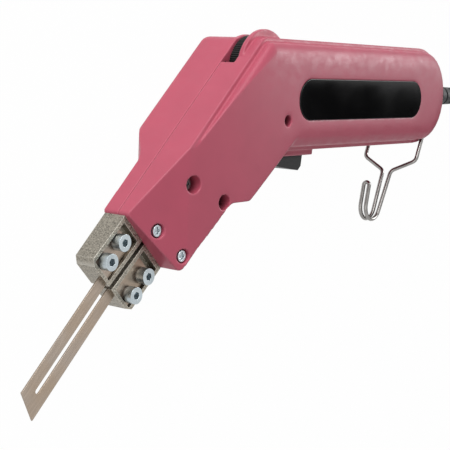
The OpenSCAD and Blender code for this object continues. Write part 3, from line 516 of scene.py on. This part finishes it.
def bright_wire(name, color, roughness):
    """Smooth drawn wire with a little uneven tone."""
    look = Look(name, color, roughness, metallic=1.0)
    tone = look.noise(scale=180.0)
    look.mottle(tone, dark=0.85, light=1.12)
    look.rough(tone, less=0.04, more=0.06)
    return look


def plated(name, color, roughness, dark):
    """Bright plating with a painted highlight on its corners and painted shade in its sockets."""
    look = plain(name, color, roughness, metallic=1.0)
    # painted highlight: corners made paler
    look.tint(look.corners(share=0.6, radius=0.3 * MM), shaded(color, 1.5))
    # painted shade: sockets darkened in the dark colour
    look.tint(look.painted_shade_in_hollows(share=0.95, reach=2 * MM, span=(0.25, 0.6)), shaded(dark, 1.0))
    return look


# One look for each material slot of the record: name, colour, roughness, and what its kind adds
LOOKS = {
    # housing: its second colour is a painted highlight on raised edges
    "housing": housing_plastic("housing_plastic", (0.52, 0.092, 0.146), 0.4, painted_edge_highlight=(0.62, 0.2, 0.26)),
    "label": gloss_sheet("label_gloss", (0.004, 0.004, 0.0045), 0.08),
    "black_plastic": moulded("black_plastic", (0.014, 0.015, 0.015), 0.45,
                             grain=0.2, spread=0.15, gloss=0.22),
    "steel": drawn_metal("steel", (0.2, 0.2, 0.2), 0.36),
    # zinc: its dark colour is painted shade in sockets
    "zinc": plated("zinc_plate", (0.5, 0.56, 0.59), 0.32, dark=(0.03, 0.034, 0.036)),
    # casting: its bright colour is a painted highlight on corners, its dark colour painted shade in pockets
    "electrode": cast_metal("plated_casting", (0.3, 0.275, 0.23), 0.36,
                            painted_corner_highlight=(0.7, 0.67, 0.6), dark=(0.05, 0.036, 0.026)),
    "blade": blade_metal("blade_steel", (0.37, 0.31, 0.26), 0.38, straw=(0.36, 0.27, 0.19), turn=NOSE_TURN),
    "hook": bright_wire("nickel_wire", (0.29, 0.28, 0.27), 0.2),
    "copper": plain("copper", (0.7, 0.33, 0.16), 0.35, metallic=1.0),
    "lamination": plain("lamination", (0.1, 0.1, 0.11), 0.5, metallic=1.0),
    "insulator": plain("phenolic", (0.09, 0.04, 0.02), 0.55),
    "white_plastic": moulded("white_plastic", (0.66, 0.63, 0.54), 0.45, grain=0.1),
    "board": plain("board_resist", (0.01, 0.13, 0.04), 0.35),
    "component": plain("component_case", (0.5, 0.28, 0.03), 0.4),
    "aluminium": drawn_metal("heat_sink", (0.7, 0.71, 0.72), 0.35),
    "rubber": moulded("cord_rubber", (0.03, 0.031, 0.033), 0.5, grain=0.25, spread=0.12, gloss=0.4),
    "lead": plain("lead_sleeve", (0.16, 0.04, 0.01), 0.5),
}


def dress(piece, slot):
    """Gives a piece the look of a slot."""
    piece.data.materials.clear()
    piece.data.materials.append(LOOKS[slot].material)


def add_weld(piece):
    """Joins the points that a solid's faces hold twice."""
    weld = piece.modifiers.new("weld", "WELD")
    weld.merge_threshold = WELD_REACH


def add_smooth(piece, name, passes):
    """Smooths a mesh in a number of passes."""
    smooth = piece.modifiers.new(name, "SMOOTH")
    smooth.factor = SMOOTH_FACTOR
    smooth.iterations = passes
    return smooth


def round_edges(piece, width):
    """Small rounds on the sharp edges of a solid, with smooth shading between."""
    add_weld(piece)
    flat = piece.modifiers.new("flat", "DECIMATE")
    flat.decimate_type = "DISSOLVE"
    flat.angle_limit = JOIN_ANGLE
    bevel = piece.modifiers.new("round", "BEVEL")
    bevel.width = width
    bevel.segments = ROUND_SEGMENTS
    bevel.limit_method = "ANGLE"
    bevel.angle_limit = ROUND_ANGLE
    bevel.use_clamp_overlap = True
    for face in piece.data.polygons:
        face.use_smooth = True
    normals = piece.modifiers.new("normals", "WEIGHTED_NORMAL")
    normals.keep_sharp = True


def dress_solids():
    """Looks for all solids, and rounds for those that show their edges."""
    for part in frame["record"]["subparts"]:
        dress(nodes[part["node"]], part["material_slot"])
    for name, width in ROUNDS_MM.items():
        round_edges(nodes[name], width * MM)


def soft_copy(name, slot):
    """A moulded copy of a solid with soft edges and even flats, which stands for its node."""
    piece = bpy.data.objects.new(name + "_moulding", nodes[name].data.copy())
    bpy.context.scene.collection.objects.link(piece)
    add_weld(piece)
    grid = piece.modifiers.new("grid", "REMESH")
    grid.mode = "VOXEL"
    grid.voxel_size = SHELL_VOXEL
    grid.use_smooth_shade = True
    add_smooth(piece, "ease", SHELL_PASSES)
    mesh = settled_mesh(piece)
    piece.modifiers.clear()
    piece.data = mesh
    flats = piece.vertex_groups.new(name="flats")
    flats.add([v.index for v in mesh.vertices if abs(v.normal.z) > FLAT_NORMAL], 1.0, "REPLACE")
    even = add_smooth(piece, "even", FLAT_PASSES)
    even.vertex_group = flats.name
    lighter = piece.modifiers.new("lighter", "DECIMATE")
    lighter.ratio = SHELL_KEEP
    dress(piece, slot)
    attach(piece, "tool")
    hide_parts(name)


def camera_white(tree, under, white, share=1.0):
    """Shows a share of plain white over a shader, to camera, glossy and transmission rays."""
    path = tree.nodes.new("ShaderNodeLightPath")
    seen = path.outputs["Is Camera Ray"]
    for ray in ("Is Glossy Ray", "Is Transmission Ray"):
        either = tree.nodes.new("ShaderNodeMath")
        either.operation = "MAXIMUM"
        tree.links.new(seen, either.inputs[0])
        tree.links.new(path.outputs[ray], either.inputs[1])
        seen = either.outputs[0]
    part = tree.nodes.new("ShaderNodeMath")
    part.operation = "MULTIPLY"
    part.inputs[1].default_value = share
    tree.links.new(seen, part.inputs[0])
    mix = tree.nodes.new("ShaderNodeMixShader")
    tree.links.new(part.outputs[0], mix.inputs["Fac"])
    tree.links.new(under, mix.inputs[1])
    tree.links.new(white, mix.inputs[2])
    return mix.outputs[0]


def white_light(node, strength):
    """Sets a node that gives light to plain white."""
    node.inputs["Color"].default_value = WHITE
    node.inputs["Strength"].default_value = strength
    return node.outputs[0]


def make_world():
    """Even white light all round, with plain white behind the object."""
    world = bpy.data.worlds.new("studio")
    world.use_nodes = True
    bpy.context.scene.world = world
    tree = world.node_tree
    ambient = white_light(tree.nodes["Background"], AMBIENT)
    white = white_light(tree.nodes.new("ShaderNodeBackground"), FULL_WHITE)
    tree.links.new(camera_white(tree, ambient, white), tree.nodes["World Output"].inputs["Surface"])


def make_sheet(name, material_name, corners, tone, roughness):
    """A flat sheet in one grey tone."""
    data = bpy.data.meshes.new(name)
    data.from_pydata(corners, [], [tuple(range(len(corners)))])
    sheet = bpy.data.objects.new(name, data)
    bpy.context.scene.collection.objects.link(sheet)
    material = bpy.data.materials.new(material_name)
    material.use_nodes = True
    surface = material.node_tree.nodes["Principled BSDF"]
    surface.inputs["Base Color"].default_value = (tone, tone, tone, 1.0)
    surface.inputs["Roughness"].default_value = roughness
    data.materials.append(material)
    return sheet


def make_floor():
    """A pale floor that shows nearly plain white, with the object's shadow."""
    corners = [(x * FLOOR_HALF, y * FLOOR_HALF, 0) for x, y in ((-1, -1), (1, -1), (1, 1), (-1, 1))]
    floor = make_sheet("floor", "floor_paper", corners, FLOOR_TONE, FLOOR_ROUGH)
    tree = floor.data.materials[0].node_tree
    paper = tree.nodes["Principled BSDF"].outputs[0]
    white = white_light(tree.nodes.new("ShaderNodeEmission"), FULL_WHITE)
    shown = camera_white(tree, paper, white, FLOOR_WHITE)
    tree.links.new(shown, tree.nodes["Material Output"].inputs["Surface"])


def make_card():
    """A dark card beyond the cord, which only reflections see."""
    edges = ((CARD_Y_MIN, 0), (CARD_Y_MAX, 0), (CARD_Y_MAX, CARD_H), (CARD_Y_MIN, CARD_H))
    corners = [(CARD_X, y, z) for y, z in edges]
    card = make_sheet("dark_card", "card_felt", corners, CARD_TONE, CARD_ROUGH)
    card.visible_camera = False
    card.visible_diffuse = False
    card.visible_shadow = False


def make_lamp(name, at, target, size, power, sheen_only=False):
    """A square lamp that the camera doesn't see. One for sheen only lights no matt surface."""
    data = bpy.data.lights.new(name, "AREA")
    data.shape = "SQUARE"
    data.size = size
    data.energy = power
    lamp = bpy.data.objects.new(name, data)
    aim = (Vector(target) - Vector(at)).to_track_quat("-Z", "Y")
    lamp.matrix_world = Matrix.Translation(Vector(at)) @ aim.to_matrix().to_4x4()
    lamp.visible_camera = False
    lamp.visible_diffuse = not sheen_only
    bpy.context.scene.collection.objects.link(lamp)


make_camera()
make_cord()
make_hook()
make_spring()
dress_solids()
soft_copy("shell_near", "housing")
soft_copy("shell_far", "housing")
make_world()
make_floor()
make_card()
make_lamp("key", at=(-0.45, 0.85, 0.4), target=TOOL_MIDDLE, size=0.7, power=7.5)
make_lamp("side", at=(-0.9, -0.2, 0.5), target=TOOL_MIDDLE, size=0.6, power=1.2)
make_lamp("sheen", at=(0.62, 0.17, 0.42), target=GRIP_MIDDLE, size=0.28, power=1.8, sheen_only=True)

bpy.context.scene.view_settings.view_transform = "Standard"
bpy.context.view_layer.update()
